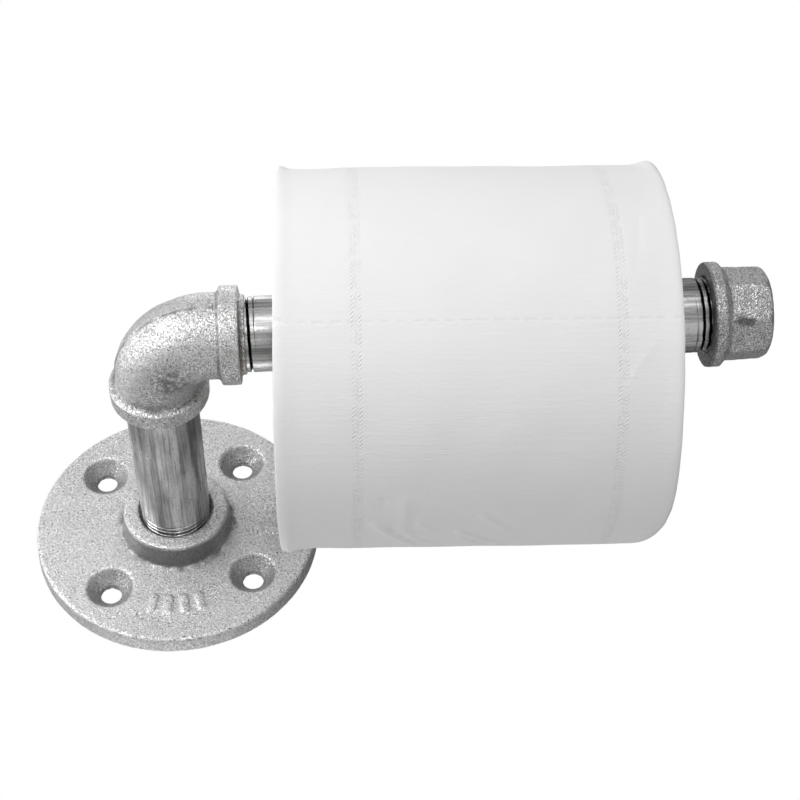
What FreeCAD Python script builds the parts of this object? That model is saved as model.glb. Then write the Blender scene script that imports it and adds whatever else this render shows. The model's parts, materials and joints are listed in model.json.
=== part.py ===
import FreeCAD, Part
import math
import os

from FreeCAD import Placement, Rotation, Vector

# Toilet paper holder made of half-inch galvanised pipe and malleable fittings.
#
# Frame, in millimetres: the flange's back face lies on the wall in the plane Y = 0, with its centre at the
# origin. The room is towards -Y, the arm runs along +X, and +Z is up.
# "Out" below is a distance from the wall, along -Y. "Along" is a distance along the arm, along +X.

# ---------------------------------------------------------------- driving dimensions

# half-inch pipe and its taper thread
PIPE_OD = 21.34
PIPE_ID = 15.80
THREAD_PITCH = 1.814
THREAD_DEPTH = 1.05
THREAD_LENGTH = 13.0
THREAD_TAPER = 1 / 32  # change of radius for each millimetre along the thread
THREAD_CLEARANCE = 0.05  # radial, between a thread's crests and the fitting's bore
CREST_FLAT = 0.35
PIPE_END_CHAMFER = 0.8

POST_LENGTH = 76.2  # three-inch nipple
ARM_LENGTH = 152.4  # six-inch nipple
HUB_THREAD_SHOWING = 2.75  # length of thread that stays outside the flange
ELBOW_THREAD_SHOWING = 1.05  # the same on the arm's side of the elbow

# where the axes, the ends of the elbow's beads and the cap's mouth lie
ARM_OUT = 91.8  # arm axis from the wall
ELBOW_POST_BEAD_OUT = 68.7
ELBOW_ARM_BEAD_ALONG = 24.3
CAP_FACE_ALONG = 156.2

# floor flange
FLANGE_RADIUS = 44.45
FLANGE_THICKNESS = 5.8
FLANGE_SIDE_DRAFT = 0.35
FLANGE_EDGE_ROUND = 0.9
HUB_HEIGHT = 14.15  # top of the hub from the wall
HUB_TOP_RADIUS = 16.1
HUB_BASE_RADIUS = 17.4
HUB_BASE_FILLET = 1.3
HUB_EDGE_ROUND = 0.9
HUB_MOUTH_RADIUS = 11.7
HUB_MOUTH_DEPTH = 2.4
SCREW_CIRCLE_RADIUS = 31.1
SCREW_CIRCLE_TURN = 3.5  # degrees from the 45 degree lines, from +X towards +Z
SCREW_HOLES = 4
SCREW_HOLE_RADIUS = 3.2
COUNTERSINK_RADIUS = 7.5
COUNTERSINK_DEPTH = 4.2
MARK_CIRCLE_RADIUS = 31.0
MARK_LENGTH = 6.5
MARK_WIDTH = 2.0
MARK_HEIGHT = 0.6
MARK_SPACING = 9.0  # degrees between the raised marks
MARKS_BELOW = (-1.5, -0.5, 0.5, 1.5)  # steps either side of straight down
MARKS_BESIDE = (-1.0, 0.0, 1.0)  # steps either side of the arm's direction

# elbow
ELBOW_BODY_RADIUS = 12.25
ELBOW_BEND_RADIUS = 15.6
ELBOW_WATERWAY_RADIUS = 8.6
POST_BEAD_RADIUS = 14.35
ARM_BEAD_RADIUS = 14.0
BEAD_WIDTH = 6.2
BEAD_ROUND = 0.5
BEAD_FILLET = 1.3
LIP_RADIUS = 11.4
LIP_LENGTH = 1.7

# end cap
CAP_LENGTH = 17.9
CAP_COLLAR_RADIUS = 15.0
CAP_COLLAR_WIDTH = 3.5
CAP_COLLAR_CHAMFER = 1.6
CAP_COLLAR_ROUND = 0.6
CAP_SIDES = 8
CAP_BODY_RADIUS = 13.7  # to the corners, at the collar
CAP_END_RADIUS = 13.2  # to the corners, at the closed end
CAP_TURN = 6.0  # degrees of the first corner from +Y towards +Z
CAP_END_ROUND = 2.6
CAP_DOME = 0.6  # how far the closed end stands proud at its middle
CAP_CORNER_ROUND = 0.9
CAP_MOUTH_RADIUS = 11.3
CAP_MOUTH_DEPTH = 1.5
CAP_BORE_DEPTH = 12.6

# paper roll, hung on the arm
CORE_BORE_RADIUS = 23.5
CORE_PLY = 0.5
CORE_PLY_CLEARANCE = 0.05
ROLL_RADIUS = 53.0
ROLL_CENTRE_ALONG = 86.8
ROLL_LENGTH = 103.9
ROLL_EDGE_ROUND = 0.6
ROLL_TILT = 2.3  # degrees that the loose roll sits askew, its end by the cap the lower
ROLL_TOWARDS_WALL = 2.0  # how far the roll's centre lies from under the arm's axis
ROLL_HANG_GAP = 0.3  # left between the core and the arm where they are closest

# ---------------------------------------------------------------- derived sizes and places

PIPE_RADIUS = PIPE_OD / 2
ELBOW_POST_LEG = ARM_OUT - ELBOW_POST_BEAD_OUT + LIP_LENGTH
ELBOW_ARM_LEG = ELBOW_ARM_BEAD_ALONG + LIP_LENGTH
POST_START_INSIDE = THREAD_LENGTH - HUB_THREAD_SHOWING
POST_START_OUT = HUB_HEIGHT - POST_START_INSIDE
POST_END_INSIDE = POST_START_OUT + POST_LENGTH - (ARM_OUT - ELBOW_POST_LEG)
ARM_START_INSIDE = THREAD_LENGTH - ELBOW_THREAD_SHOWING
ARM_START_ALONG = ELBOW_ARM_LEG - ARM_START_INSIDE
ARM_END_INSIDE = ARM_START_ALONG + ARM_LENGTH - CAP_FACE_ALONG
ROLL_PLAY = CORE_BORE_RADIUS - PIPE_RADIUS - ROLL_HANG_GAP
ROLL_LOW_END_DOWN = math.sqrt(ROLL_PLAY ** 2 - ROLL_TOWARDS_WALL ** 2)
ROLL_CENTRE_DOWN = ROLL_LOW_END_DOWN - ROLL_LENGTH / 2 * math.sin(math.radians(ROLL_TILT))

WALL = Vector(0, 0, 0)
OUT = Vector(0, -1, 0)
ALONG = Vector(1, 0, 0)
UP = Vector(0, 0, 1)
CORNER = Vector(0, -ARM_OUT, 0)  # where the post's and the arm's axes meet


# ---------------------------------------------------------------- helpers

def rounded_edges(corners):
    """Edges of a closed flat outline. Each corner is (point, radius); a radius of 0 stays sharp."""
    count = len(corners)
    starts, ends, arcs = [], [], []
    for i, (point, radius) in enumerate(corners):
        before = (corners[i - 1][0] - point).normalize()
        after = (corners[(i + 1) % count][0] - point).normalize()
        if radius == 0:
            starts.append(point)
            ends.append(point)
            arcs.append(None)
            continue
        half = before.getAngle(after) / 2
        reach = radius / math.tan(half)
        middle = (before + after).normalize()
        starts.append(point + before * reach)
        ends.append(point + after * reach)
        closest = point + middle * (radius / math.sin(half) - radius)
        arcs.append(Part.Arc(starts[-1], closest, ends[-1]).toShape())
    edges = []
    for i in range(count):
        if arcs[i] is not None:
            edges.append(arcs[i])
        following = starts[(i + 1) % count]
        if (following - ends[i]).Length > 1e-6:
            edges.append(Part.LineSegment(ends[i], following).toShape())
    return edges


def turned(outline, base, axis, side):
    """A solid turned about an axis. The outline is a list of (distance along the axis, radius, rounding)."""
    corners = [(base + axis * along + side * radius, rounding) for along, radius, rounding in outline]
    face = Part.Face(Part.Wire(rounded_edges(corners)))
    return face.revolve(base, axis, 360)


def tube(inner, outer, length, base, axis, side, rounding=0):
    """A straight tube whose outer edges are rounded."""
    return turned(
        [(0, inner, 0), (0, outer, rounding), (length, outer, rounding), (length, inner, 0)],
        base, axis, side,
    )


def crest_radius(inside):
    """Radius of the taper thread's crests, at a distance from the end of the pipe."""
    return min(PIPE_RADIUS, PIPE_RADIUS - (THREAD_LENGTH - inside) * THREAD_TAPER)


def thread_outline():
    """Outer outline of one threaded pipe end, from the end of the pipe inwards, as (distance, radius)."""
    points = [(0, crest_radius(0) - PIPE_END_CHAMFER), (PIPE_END_CHAMFER, crest_radius(PIPE_END_CHAMFER))]
    turns = int((THREAD_LENGTH - PIPE_END_CHAMFER) / THREAD_PITCH)
    first = THREAD_LENGTH - turns * THREAD_PITCH
    for turn in range(turns):
        start = first + turn * THREAD_PITCH
        bottom = start + (THREAD_PITCH - CREST_FLAT) / 2
        end = start + THREAD_PITCH - CREST_FLAT
        points.append((start, crest_radius(start)))
        points.append((bottom, crest_radius(bottom) - THREAD_DEPTH))
        points.append((end, crest_radius(end)))
    points.append((THREAD_LENGTH, PIPE_RADIUS))
    return [point for i, point in enumerate(points) if i == 0 or point[0] - points[i - 1][0] > 0.02]


def nipple(length, base, axis, side):
    """A pipe threaded at both ends."""
    near = thread_outline()
    far = [(length - distance, radius) for distance, radius in reversed(near)]
    outer = [(distance, radius, 0) for distance, radius in near + far]
    return turned([(0, PIPE_ID / 2, 0)] + outer + [(length, PIPE_ID / 2, 0)], base, axis, side)


def bore_cutter(pipe_inside, depth, mouth_radius, mouth_depth, base, axis, side):
    """What a fitting's taper-threaded bore removes. The base is in its mouth, and the axis points into it.

    The pipe's end lies pipe_inside beyond the mouth, and the bore follows its thread's crests.
    """
    def bore_radius(inside):
        return crest_radius(pipe_inside - inside) + THREAD_CLEARANCE

    return turned(
        [
            (-1, 0, 0),
            (-1, mouth_radius + 0.5, 0),
            (0, mouth_radius, 0),
            (mouth_depth, bore_radius(mouth_depth), 0),
            (depth, bore_radius(depth), 0),
            (depth, 0, 0),
        ],
        base, axis, side,
    )


# ---------------------------------------------------------------- floor flange

def raised_mark(angle):
    """A plain raised bar on the flange's front face, pointing at the centre. The angle is from +X towards +Z."""
    base = Vector(MARK_CIRCLE_RADIUS - MARK_LENGTH / 2, 0, -MARK_WIDTH / 2)
    bar = Part.makeBox(MARK_LENGTH, FLANGE_THICKNESS + MARK_HEIGHT, MARK_WIDTH, base)
    bar.translate(Vector(0, -FLANGE_THICKNESS - MARK_HEIGHT, 0))
    upright = [edge for edge in bar.Edges if abs(edge.tangentAt(edge.FirstParameter).y) > 0.9]
    bar = bar.makeFillet(MARK_WIDTH * 0.45, upright)
    bar.rotate(WALL, Vector(0, -1, 0), angle)
    return bar


def floor_flange():
    body = turned(
        [
            (0, 6, 0),
            (0, FLANGE_RADIUS, 0.4),
            (FLANGE_THICKNESS, FLANGE_RADIUS - FLANGE_SIDE_DRAFT, FLANGE_EDGE_ROUND),
            (FLANGE_THICKNESS, HUB_BASE_RADIUS, HUB_BASE_FILLET),
            (HUB_HEIGHT, HUB_TOP_RADIUS, HUB_EDGE_ROUND),
            (HUB_HEIGHT, 6, 0),
        ],
        WALL, OUT, ALONG,
    )
    steps = [(270, step) for step in MARKS_BELOW] + [(0, step) for step in MARKS_BESIDE]
    for middle, step in steps:
        body = body.fuse(raised_mark(middle + step * MARK_SPACING))
    body = body.removeSplitter()

    mouth = WALL + OUT * HUB_HEIGHT
    body = body.cut(bore_cutter(
        POST_START_INSIDE, HUB_HEIGHT + 1, HUB_MOUTH_RADIUS, HUB_MOUTH_DEPTH,
        mouth, OUT * -1, ALONG,
    ))
    for i in range(SCREW_HOLES):
        angle = math.radians(45 + SCREW_CIRCLE_TURN + i * 360 / SCREW_HOLES)
        centre = Vector(math.cos(angle), 0, math.sin(angle)) * SCREW_CIRCLE_RADIUS
        above = FLANGE_THICKNESS + 1
        slope = (COUNTERSINK_RADIUS - SCREW_HOLE_RADIUS) / COUNTERSINK_DEPTH
        cutter = turned(
            [
                (-1, 0, 0),
                (-1, SCREW_HOLE_RADIUS, 0),
                (FLANGE_THICKNESS - COUNTERSINK_DEPTH, SCREW_HOLE_RADIUS, 0),
                (above, COUNTERSINK_RADIUS + slope, 0),
                (above, 0, 0),
            ],
            centre, OUT, ALONG,
        )
        body = body.cut(cutter)
    return body


# ---------------------------------------------------------------- elbow

def elbow_leg(length, bead_radius, axis, side):
    """A straight leg of the elbow, from the end of the bend to its beaded mouth with a short lip."""
    bead_start = length - LIP_LENGTH - BEAD_WIDTH
    bead_end = length - LIP_LENGTH
    return turned(
        [
            (ELBOW_BEND_RADIUS, 0, 0),
            (ELBOW_BEND_RADIUS, ELBOW_BODY_RADIUS, 0),
            (bead_start, ELBOW_BODY_RADIUS, BEAD_FILLET * 0.5),
            (bead_start + 0.9, bead_radius, BEAD_ROUND),
            (bead_end, bead_radius, BEAD_ROUND),
            (bead_end + 0.25, LIP_RADIUS, 0),
            (length, LIP_RADIUS - 0.2, 0.2),
            (length, 0, 0),
        ],
        CORNER, axis, side,
    )


def elbow_bend(radius):
    """A quarter ring that joins the two legs."""
    bend_centre = CORNER + (ALONG - OUT) * ELBOW_BEND_RADIUS
    start = CORNER - OUT * ELBOW_BEND_RADIUS
    ring = Part.Face(Part.Wire(Part.Circle(start, OUT, radius).toShape()))
    return ring.revolve(bend_centre, UP, 90)


def elbow():
    towards_wall = OUT * -1
    body = elbow_bend(ELBOW_BODY_RADIUS)
    body = body.fuse(elbow_leg(ELBOW_POST_LEG, POST_BEAD_RADIUS, towards_wall, ALONG))
    body = body.fuse(elbow_leg(ELBOW_ARM_LEG, ARM_BEAD_RADIUS, ALONG, UP))
    body = body.removeSplitter()
    body = body.cut(elbow_bend(ELBOW_WATERWAY_RADIUS))
    legs = [
        (ELBOW_POST_LEG, POST_END_INSIDE, towards_wall, ALONG),
        (ELBOW_ARM_LEG, ARM_START_INSIDE, ALONG, UP),
    ]
    for length, inside, axis, side in legs:
        waterway = turned(
            [
                (ELBOW_BEND_RADIUS - 0.01, 0, 0),
                (ELBOW_BEND_RADIUS - 0.01, ELBOW_WATERWAY_RADIUS, 0),
                (length, ELBOW_WATERWAY_RADIUS, 0),
                (length, 0, 0),
            ],
            CORNER, axis, side,
        )
        mouth = CORNER + axis * length
        body = body.cut(waterway)
        body = body.cut(bore_cutter(inside, inside + 0.3, LIP_RADIUS - 0.5, 0.6, mouth, axis * -1, side))
    return body


# ---------------------------------------------------------------- end cap

def cap_polygon(along, radius):
    """The cap's many-sided outline at a distance along the arm."""
    points = []
    for i in range(CAP_SIDES + 1):
        angle = math.radians(CAP_TURN + i * 360 / CAP_SIDES)
        points.append(CORNER + ALONG * along + Vector(0, math.cos(angle), math.sin(angle)) * radius)
    return Part.makePolygon(points)


def end_cap():
    start = CAP_FACE_ALONG + CAP_COLLAR_WIDTH / 2
    end = CAP_FACE_ALONG + CAP_LENGTH - CAP_DOME
    outlines = [cap_polygon(start, CAP_BODY_RADIUS), cap_polygon(end + CAP_DOME, CAP_END_RADIUS)]
    prism = Part.makeLoft(outlines, True, True)
    corners = [edge for edge in prism.Edges if abs(edge.tangentAt(edge.FirstParameter).x) > 0.9]
    prism = prism.makeFillet(CAP_CORNER_ROUND, corners)
    dome = turned(
        [
            (start - 1, 0, 0),
            (start - 1, CAP_BODY_RADIUS, 0),
            (end, CAP_END_RADIUS, CAP_END_ROUND),
            (end + CAP_DOME, 0, 0),
        ],
        CORNER, ALONG, UP,
    )
    prism = prism.common(dome)

    shoulder = CAP_COLLAR_WIDTH + CAP_COLLAR_CHAMFER
    collar = turned(
        [
            (CAP_FACE_ALONG, 0, 0),
            (CAP_FACE_ALONG, CAP_COLLAR_RADIUS, CAP_COLLAR_ROUND * 0.5),
            (CAP_FACE_ALONG + CAP_COLLAR_WIDTH, CAP_COLLAR_RADIUS, CAP_COLLAR_ROUND),
            (CAP_FACE_ALONG + shoulder, CAP_BODY_RADIUS - 0.6, 0),
            (CAP_FACE_ALONG + shoulder, 0, 0),
        ],
        CORNER, ALONG, UP,
    )
    mouth = CORNER + ALONG * CAP_FACE_ALONG
    bore = bore_cutter(ARM_END_INSIDE, CAP_BORE_DEPTH, CAP_MOUTH_RADIUS, CAP_MOUTH_DEPTH, mouth, ALONG, UP)
    return prism.fuse(collar).removeSplitter().cut(bore)


# ---------------------------------------------------------------- paper roll

def on_the_roll(inner, outer, rounding=0):
    """A tube of the roll's length about the roll's own axis, which hangs below the arm and sits askew."""
    shape = tube(inner, outer, ROLL_LENGTH, Vector(-ROLL_LENGTH / 2, 0, 0), ALONG, UP, rounding)
    centre = CORNER + ALONG * ROLL_CENTRE_ALONG - OUT * ROLL_TOWARDS_WALL - UP * ROLL_CENTRE_DOWN
    shape.Placement = Placement(centre, Rotation(OUT * -1, ROLL_TILT))
    return shape


def paper_parts():
    first_outer = CORE_BORE_RADIUS + CORE_PLY
    second_inner = first_outer + CORE_PLY_CLEARANCE
    second_outer = second_inner + CORE_PLY
    return {
        "core_inner_ply": on_the_roll(CORE_BORE_RADIUS, first_outer),
        "core_outer_ply": on_the_roll(second_inner, second_outer),
        "paper_roll": on_the_roll(second_outer, ROLL_RADIUS, ROLL_EDGE_ROUND),
    }


# ---------------------------------------------------------------- the whole holder

def make_parts():
    parts = {
        "floor_flange": floor_flange(),
        "post_nipple": nipple(POST_LENGTH, WALL + OUT * POST_START_OUT, OUT, ALONG),
        "elbow": elbow(),
        "arm_nipple": nipple(ARM_LENGTH, CORNER + ALONG * ARM_START_ALONG, ALONG, UP),
        "end_cap": end_cap(),
    }
    parts.update(paper_parts())
    return parts


os.makedirs("parts", exist_ok=True)
for node, shape in make_parts().items():
    if not shape.isValid() or len(shape.Solids) != 1:
        raise ValueError(f"{node}: valid {shape.isValid()}, solids {len(shape.Solids)}")
    shape.Solids[0].exportStep(f"parts/{node}.step")
    print(f"{node}: {shape.Volume:.0f} cubic millimetres")
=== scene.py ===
import json
import math

import bmesh
import bpy
import numpy as np
from mathutils import Matrix, Quaternion, Vector, noise


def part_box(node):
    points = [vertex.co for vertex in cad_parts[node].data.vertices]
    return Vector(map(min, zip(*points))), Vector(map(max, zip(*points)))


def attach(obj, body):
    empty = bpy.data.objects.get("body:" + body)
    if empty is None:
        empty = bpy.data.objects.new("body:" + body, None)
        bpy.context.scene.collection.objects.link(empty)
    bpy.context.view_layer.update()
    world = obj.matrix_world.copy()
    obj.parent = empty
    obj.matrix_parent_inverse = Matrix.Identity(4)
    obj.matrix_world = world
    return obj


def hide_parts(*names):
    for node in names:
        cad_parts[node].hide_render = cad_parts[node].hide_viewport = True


# Toilet paper holder made of galvanised pipe and cast fittings, with a full roll on its arm.
#
# Metres, in the CAD frame: the flange's back lies on the wall in the plane Y = 0, the room is towards -Y,
# the arm runs along +X, and +Z is up. The parts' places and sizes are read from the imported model.

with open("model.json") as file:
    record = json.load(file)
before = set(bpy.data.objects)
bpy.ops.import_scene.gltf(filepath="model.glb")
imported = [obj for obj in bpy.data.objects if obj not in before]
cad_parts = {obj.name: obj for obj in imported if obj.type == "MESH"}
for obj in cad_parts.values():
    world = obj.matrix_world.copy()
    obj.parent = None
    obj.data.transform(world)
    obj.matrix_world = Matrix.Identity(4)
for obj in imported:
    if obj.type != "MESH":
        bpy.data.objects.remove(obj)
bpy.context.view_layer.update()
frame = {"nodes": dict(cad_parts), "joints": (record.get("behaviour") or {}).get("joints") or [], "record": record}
scene = bpy.context.scene
MM = 0.001


# ---------------------------------------------------------------- places read from the frame

class Turned:
    """A round CAD node: its axis, its length along it, and its largest and smallest radius."""

    def __init__(self, node, centre, axis):
        self.axis = Vector(axis).normalized()
        self.centre = Vector(centre)
        points = np.array([v.co for v in frame["nodes"][node].data.vertices]) - np.array(self.centre)
        along = points @ np.array(self.axis)
        radii = np.linalg.norm(points - np.outer(along, np.array(self.axis)), axis=1)
        self.start, self.end = float(along.min()), float(along.max())
        self.outer, self.inner = float(radii.max()), float(radii.min())


def middle(node):
    low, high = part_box(node)
    return (low + high) / 2


def joint(name):
    return next(j for j in frame["joints"] if j["name"] == name)


arm_centre, post_centre = middle("arm_nipple"), middle("post_nipple")
corner = Vector((post_centre.x, arm_centre.y, arm_centre.z))
arm = Turned("arm_nipple", corner, (1, 0, 0))
post = Turned("post_nipple", Vector((0, 0, 0)), (0, -1, 0))
spin = joint("roll_spin")
roll = Turned("paper_roll", spin["pos_m"], spin["axis"])
lining = Turned("core_inner_ply", spin["pos_m"], spin["axis"])
wrap = Turned("core_outer_ply", spin["pos_m"], spin["axis"])


# ---------------------------------------------------------------- camera

CAMERA_AIM = Vector((68.77, -74.08, -11.60)) * MM
CAMERA_DISTANCE = 500 * MM
CAMERA_AZIMUTH = math.radians(-4.528)
CAMERA_ELEVATION = math.radians(-40.67)
CAMERA_ROLL = math.radians(-5.565)
CAMERA_LENS = 78.75
CAMERA_CLIP = 10 * MM

towards_camera = Vector((
    math.sin(CAMERA_AZIMUTH) * math.cos(CAMERA_ELEVATION),
    -math.cos(CAMERA_AZIMUTH) * math.cos(CAMERA_ELEVATION),
    math.sin(CAMERA_ELEVATION),
))


def make_camera():
    data = bpy.data.cameras.new("camera")
    data.lens = CAMERA_LENS
    data.clip_start = CAMERA_CLIP
    camera = bpy.data.objects.new("camera", data)
    camera.location = CAMERA_AIM + towards_camera * CAMERA_DISTANCE
    camera.rotation_mode = "QUATERNION"
    level = (-towards_camera).to_track_quat("-Z", "Y")
    camera.rotation_quaternion = level @ Quaternion((0, 0, 1), CAMERA_ROLL)
    scene.collection.objects.link(camera)
    scene.camera = camera


# ---------------------------------------------------------------- light, world and floor

# Square lights that face CAMERA_AIM: name, direction, distance and width in metres, and power in watts.
LIGHTS = (
    ("key_softbox", (0.0, -0.99, -0.12), 0.8, 0.6, 2.3),
    ("left_softbox", (-0.77, -0.63, 0.0), 0.5, 0.3, 1.3),
    ("side_softbox", (-0.95, 0.1, 0.25), 0.6, 0.5, 1.0),
    ("top_softbox", (-0.05, 0.1, 1.0), 0.8, 0.4, 0.7),
    ("wall_bounce", (-0.2, 0.93, -0.28), 0.8, 0.6, 1.4),
)
BRIGHT_SIDE = Vector((-0.7, -0.48, 0.6)).normalized()  # the room is brightest at the upper left in front
BRIGHT_SIDE_SPAN = (-0.7, 0.9)  # cosines from BRIGHT_SIDE where the room is at its darkest and its brightest
ROOM_STRENGTH = (0.08, 0.5)
FLOOR_HEIGHT = -0.66
FLOOR_HALF = 4.0


def soft_light(name, direction, distance, width, power):
    data = bpy.data.lights.new(name, "AREA")
    data.shape = "SQUARE"
    data.size = width
    data.energy = power
    light = bpy.data.objects.new(name, data)
    direction = Vector(direction).normalized()
    light.location = CAMERA_AIM + direction * distance
    light.rotation_mode = "QUATERNION"
    light.rotation_quaternion = (-direction).to_track_quat("-Z", "Y")
    light.visible_camera = False
    scene.collection.objects.link(light)


def make_world():
    """Plain white behind the holder, and a soft room for its light and its reflections."""
    world = bpy.data.worlds.new("studio")
    scene.world = world
    world.use_nodes = True
    tree = world.node_tree
    tree.nodes.clear()
    direction = tree.nodes.new("ShaderNodeTexCoord")
    cosine = tree.nodes.new("ShaderNodeVectorMath")
    cosine.operation = "DOT_PRODUCT"
    cosine.inputs[1].default_value = BRIGHT_SIDE
    tree.links.new(direction.outputs["Generated"], cosine.inputs[0])
    blend = tree.nodes.new("ShaderNodeMapRange")
    blend.interpolation_type = "SMOOTHSTEP"
    for key, value in zip(("From Min", "From Max", "To Min", "To Max"), BRIGHT_SIDE_SPAN + ROOM_STRENGTH):
        blend.inputs[key].default_value = value
    tree.links.new(cosine.outputs["Value"], blend.inputs["Value"])
    room = tree.nodes.new("ShaderNodeBackground")
    tree.links.new(blend.outputs["Result"], room.inputs["Strength"])
    white = tree.nodes.new("ShaderNodeBackground")
    room.inputs["Color"].default_value = white.inputs["Color"].default_value = (1, 1, 1, 1)
    seen = tree.nodes.new("ShaderNodeLightPath")
    mix = tree.nodes.new("ShaderNodeMixShader")
    output = tree.nodes.new("ShaderNodeOutputWorld")
    tree.links.new(seen.outputs["Is Camera Ray"], mix.inputs[0])
    tree.links.new(room.outputs[0], mix.inputs[1])
    tree.links.new(white.outputs[0], mix.inputs[2])
    tree.links.new(mix.outputs[0], output.inputs["Surface"])


def make_stage():
    scene.view_settings.view_transform = "Standard"
    for light in LIGHTS:
        soft_light(*light)
    make_world()
    corners = ((-1, -1), (1, -1), (1, 1), (-1, 1))
    mesh = bpy.data.meshes.new("floor")
    mesh.from_pydata([(x * FLOOR_HALF, y * FLOOR_HALF, FLOOR_HEIGHT) for x, y in corners], [], [(0, 1, 2, 3)])
    floor = bpy.data.objects.new("floor", mesh)
    scene.collection.objects.link(floor)
    floor.data.materials.append(floor_material())


# ---------------------------------------------------------------- materials

# The roll's knurled bands are part paint and part shape, so the paper roll's section uses these too.
BANDS = (0.204, 0.85)  # middles of the two bands, as shares of the roll's width
BAND_HALF = 1.5 * MM
BAND_FILES = 3
KNURL_PITCH = 1.1 * MM


class Paint:
    """Short ways to build one procedural material around a Principled shader."""

    def __init__(self, name, metallic, roughness):
        self.material = bpy.data.materials.new(name)
        self.material.use_nodes = True
        self.tree = self.material.node_tree
        self.shader = self.tree.nodes["Principled BSDF"]
        self.shader.inputs["Metallic"].default_value = metallic
        self.shader.inputs["Roughness"].default_value = roughness
        coordinates = self.tree.nodes.new("ShaderNodeTexCoord")
        self.object = coordinates.outputs["Object"]
        self.uv = coordinates.outputs["UV"]

    def put(self, node, key, value):
        """Sets a socket to a value, or links another node's output to it."""
        socket = node.inputs[key]
        if isinstance(value, bpy.types.NodeSocket):
            self.tree.links.new(value, socket)
        else:
            socket.default_value = value

    def stretch(self, vector, scale):
        node = self.tree.nodes.new("ShaderNodeMapping")
        self.put(node, "Vector", vector)
        self.put(node, "Scale", scale)
        return node.outputs["Vector"]

    def noise(self, vector, scale, detail=2.0, roughness=0.5, distortion=0.0):
        node = self.tree.nodes.new("ShaderNodeTexNoise")
        self.put(node, "Vector", vector)
        self.put(node, "Scale", scale)
        self.put(node, "Detail", detail)
        self.put(node, "Roughness", roughness)
        self.put(node, "Distortion", distortion)
        return node.outputs["Fac"]

    def math(self, operation, first, second=0.0, third=0.0):
        node = self.tree.nodes.new("ShaderNodeMath")
        node.operation = operation
        self.put(node, 0, first)
        self.put(node, 1, second)
        self.put(node, 2, third)
        return node.outputs[0]

    def weigh(self, *parts):
        """The sum of several outputs, each times its own weight."""
        total = 0.0
        for value, weight in parts:
            total = self.math("MULTIPLY_ADD", value, weight, total)
        return total

    def span(self, value, low, high, to_low=0.0, to_high=1.0):
        """Maps low..high to to_low..to_high, smoothly and with flat ends. Low may be the larger."""
        node = self.tree.nodes.new("ShaderNodeMapRange")
        node.interpolation_type = "SMOOTHSTEP"
        self.put(node, "Value", value)
        self.put(node, "From Min", low)
        self.put(node, "From Max", high)
        self.put(node, "To Min", to_low)
        self.put(node, "To Max", to_high)
        return node.outputs["Result"]

    def mix(self, share, first, second):
        node = self.tree.nodes.new("ShaderNodeMix")
        node.data_type = "RGBA"
        self.put(node, "Factor", share)
        self.put(node, 6, first)
        self.put(node, 7, second)
        return node.outputs[2]

    def split(self, vector):
        node = self.tree.nodes.new("ShaderNodeSeparateXYZ")
        self.put(node, 0, vector)
        return node.outputs

    def attribute(self, name):
        node = self.tree.nodes.new("ShaderNodeAttribute")
        node.attribute_name = name
        return node.outputs["Fac"]

    def bump(self, height, distance):
        node = self.tree.nodes.new("ShaderNodeBump")
        self.put(node, "Height", height)
        self.put(node, "Distance", distance)
        self.put(node, "Strength", 1.0)
        return node.outputs["Normal"]

    def finish(self, colour, roughness=None, normal=None):
        """Links what varies over the surface to the shader, and gives back the material."""
        for key, value in (("Base Color", colour), ("Roughness", roughness), ("Normal", normal)):
            if value is not None:
                self.put(self.shader, key, value)
        return self.material


def grey(value):
    return (value, value, value, 1.0)


def floor_material():
    paint = Paint("pale_floor", 0.0, 0.85)
    mottle = paint.noise(paint.object, 3.0, detail=4)
    return paint.finish(paint.mix(mottle, grey(0.84), grey(0.88)))


def cast_material(name, wrinkle_scale, depth, dull_and_shade, bright):
    """Hot-dipped sand casting: bright zinc over a crisp wrinkled skin, with painted shade in the thin low crevices
    of its wrinkles, dark pinhole specks painted as the shade of small pits, and painted shade where the marks ask
    for it.
    """
    paint = Paint(name, 1.0, 0.4)
    folds = paint.noise(paint.object, wrinkle_scale, detail=1.5, roughness=0.5, distortion=0.6)
    sand = paint.noise(paint.object, wrinkle_scale * 2.3, detail=1.5, roughness=0.6)
    holes = paint.noise(paint.object, wrinkle_scale * 0.9, detail=2.5, roughness=0.7)
    clouds = paint.noise(paint.object, 140, detail=3.0)
    cushions = paint.span(paint.math("ABSOLUTE", paint.math("SUBTRACT", folds, 0.5)), 0.0, 0.12)
    grain = paint.weigh((cushions, 0.5), (sand, 0.7))
    # The grain's low parts, mostly the thin crevices between the wrinkles' cushions, are darker: painted shade in
    # the crevices, over a random zinc tone.
    colour = paint.mix(paint.span(grain, 0.28, 0.72), grey(dull_and_shade), grey(bright))
    colour = paint.mix(paint.span(clouds, 0.35, 0.7, 0.0, 0.12), colour, grey(0.5))
    # Painted shade: dark pinhole specks stand for the shade in small pits.
    colour = paint.mix(paint.span(holes, 0.44, 0.34, 0.0, 0.75), colour, grey(0.08))
    # Painted shade from the castings' marks, stored on their skins: undersides, the hub's foot and side,
    # countersinks, the elbow's parting line, bead creases and inner bend, and the cap's pits and collar face.
    colour = paint.mix(paint.span(paint.attribute("painted_shade"), 0.0, 1.0, 0.0, 0.8), colour, grey(0.10))
    roughness = paint.span(grain, 0.3, 0.9, 0.42, 0.26)
    return paint.finish(colour, roughness, paint.bump(grain, depth))


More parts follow.
